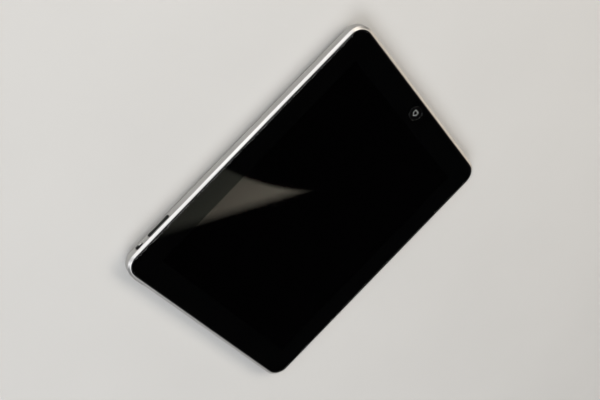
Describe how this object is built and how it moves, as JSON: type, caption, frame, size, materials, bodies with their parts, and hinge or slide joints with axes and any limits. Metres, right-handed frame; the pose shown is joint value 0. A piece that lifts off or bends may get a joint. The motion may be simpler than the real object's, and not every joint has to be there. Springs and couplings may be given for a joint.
{
  "type": "tablet computer",
  "caption": "Thin rounded slab computer with a black-bordered glass touch screen, satin metal back, concave home button and edge controls.",
  "frame": {"origin": "centre of the flat back, with the tablet lying on its back", "axes": "+X towards the edge with the volume rocker, +Y along the long side towards the edge with the sleep button, +Z out of the screen"},
  "size_m": [0.1907, 0.2434, 0.0134],
  "materials": {
    "anodised_shell": "bead-blasted satin anodising, natural silver",
    "cover_glass": "polished clear glass",
    "black_print": "black ink printed on the back of the glass",
    "black_gasket": "fine matt black moulding",
    "touch_film": "clear sensor glass",
    "screen_glass": "dark screen, switched off",
    "clear_acrylic": "clear light guide",
    "white_film": "diffusing film",
    "stamped_steel": "stamped sheet steel",
    "screw_steel": "zinc plated",
    "button_black": "smooth black moulding",
    "rocker_black": "fine satin black moulding",
    "silicone": "soft grey silicone",
    "dome_steel": "snap dome",
    "board_green": "solder-masked glass-epoxy board",
    "flex_orange": "polyimide flexible circuit",
    "chip_black": "moulded chip package",
    "gold_contact": "gold-plated contact",
    "mesh_steel": "black woven steel mesh",
    "tray_aluminium": "stamped aluminium sheet",
    "battery_pouch": "laminated foil pouch",
    "adhesive_black": "foam adhesive",
    "antenna_copper": "copper-clad antenna",
    "black_cable": "fine coaxial lead"
  },
  "bodies": {
    "case": {"rear_shell": "anodised_shell", "cover_glass": "cover_glass", "border_mask": "black_print", "glass_surround": "black_gasket", "panel_clips": "stamped_steel", "touch_sensor": "touch_film", "touch_cable": "flex_orange", "lcd_cell": "screen_glass", "diffuser_films": "white_film", "light_guide": "clear_acrylic", "backlight_leds": "white_film", "lcd_frame": "tray_aluminium", "display_screws": "screw_steel", "display_cable": "flex_orange", "home_spring_pad": "silicone", "home_dome": "dome_steel", "home_switch_board": "board_green", "home_bracket": "stamped_steel", "home_screws": "screw_steel", "home_flex": "flex_orange", "volume_pivot": "screw_steel", "volume_domes": "dome_steel", "side_bracket": "stamped_steel", "side_button_flex": "flex_orange", "side_screws": "screw_steel", "lock_switch": "chip_black", "sleep_dome": "dome_steel", "sleep_flex": "flex_orange", "sleep_bracket": "stamped_steel", "headphone_jack": "rocker_black", "jack_contacts": "gold_contact", "jack_flex": "flex_orange", "microphone": "stamped_steel", "mic_boot": "silicone", "dock_shell": "stamped_steel", "dock_housing": "rocker_black", "dock_contacts": "gold_contact", "dock_flex": "flex_orange", "speaker_box": "chip_black", "speaker_drivers": "stamped_steel", "speaker_mesh": "mesh_steel", "battery_cells": "battery_pouch", "battery_adhesive": "adhesive_black", "battery_frame": "chip_black", "battery_board": "board_green", "battery_cable": "flex_orange", "logic_board": "board_green", "board_screws": "screw_steel", "processor": "chip_black", "memory_chips": "chip_black", "shield_cans": "stamped_steel", "board_connectors": "chip_black", "wifi_antenna": "antenna_copper", "bluetooth_antenna": "antenna_copper", "antenna_cable": "black_cable", "light_sensor": "chip_black"},
    "home": {"home_button": "button_black"},
    "rocker": {"volume_rocker": "rocker_black"},
    "lock": {"lock_slider": "rocker_black"},
    "sleep": {"sleep_button": "rocker_black"}
  },
  "joints": [
    {"name": "home_press", "type": "slide", "parent": "case", "child": "home", "axis": [0, 0, -1], "range_m": [0, 0.0004], "stiffness_N_per_m": 3000, "deforming": ["home_spring_pad", "home_dome"]},
    {"name": "sleep_press", "type": "slide", "parent": "case", "child": "sleep", "axis": [0, -1, 0], "range_m": [0, 0.0004], "stiffness_N_per_m": 3000, "deforming": ["sleep_dome"]},
    {"name": "volume_rock", "type": "hinge", "parent": "case", "child": "rocker", "pos_m": [0.09145, 0.0816, 0.0094], "axis": [0, 0, 1], "range_deg": [-2, 2], "stiffness_Nm_per_rad": 0.3, "deforming": ["volume_domes"]},
    {"name": "lock_slide", "type": "slide", "parent": "case", "child": "lock", "axis": [0, -1, 0], "range_m": [0, 0.0028]}
  ]
}
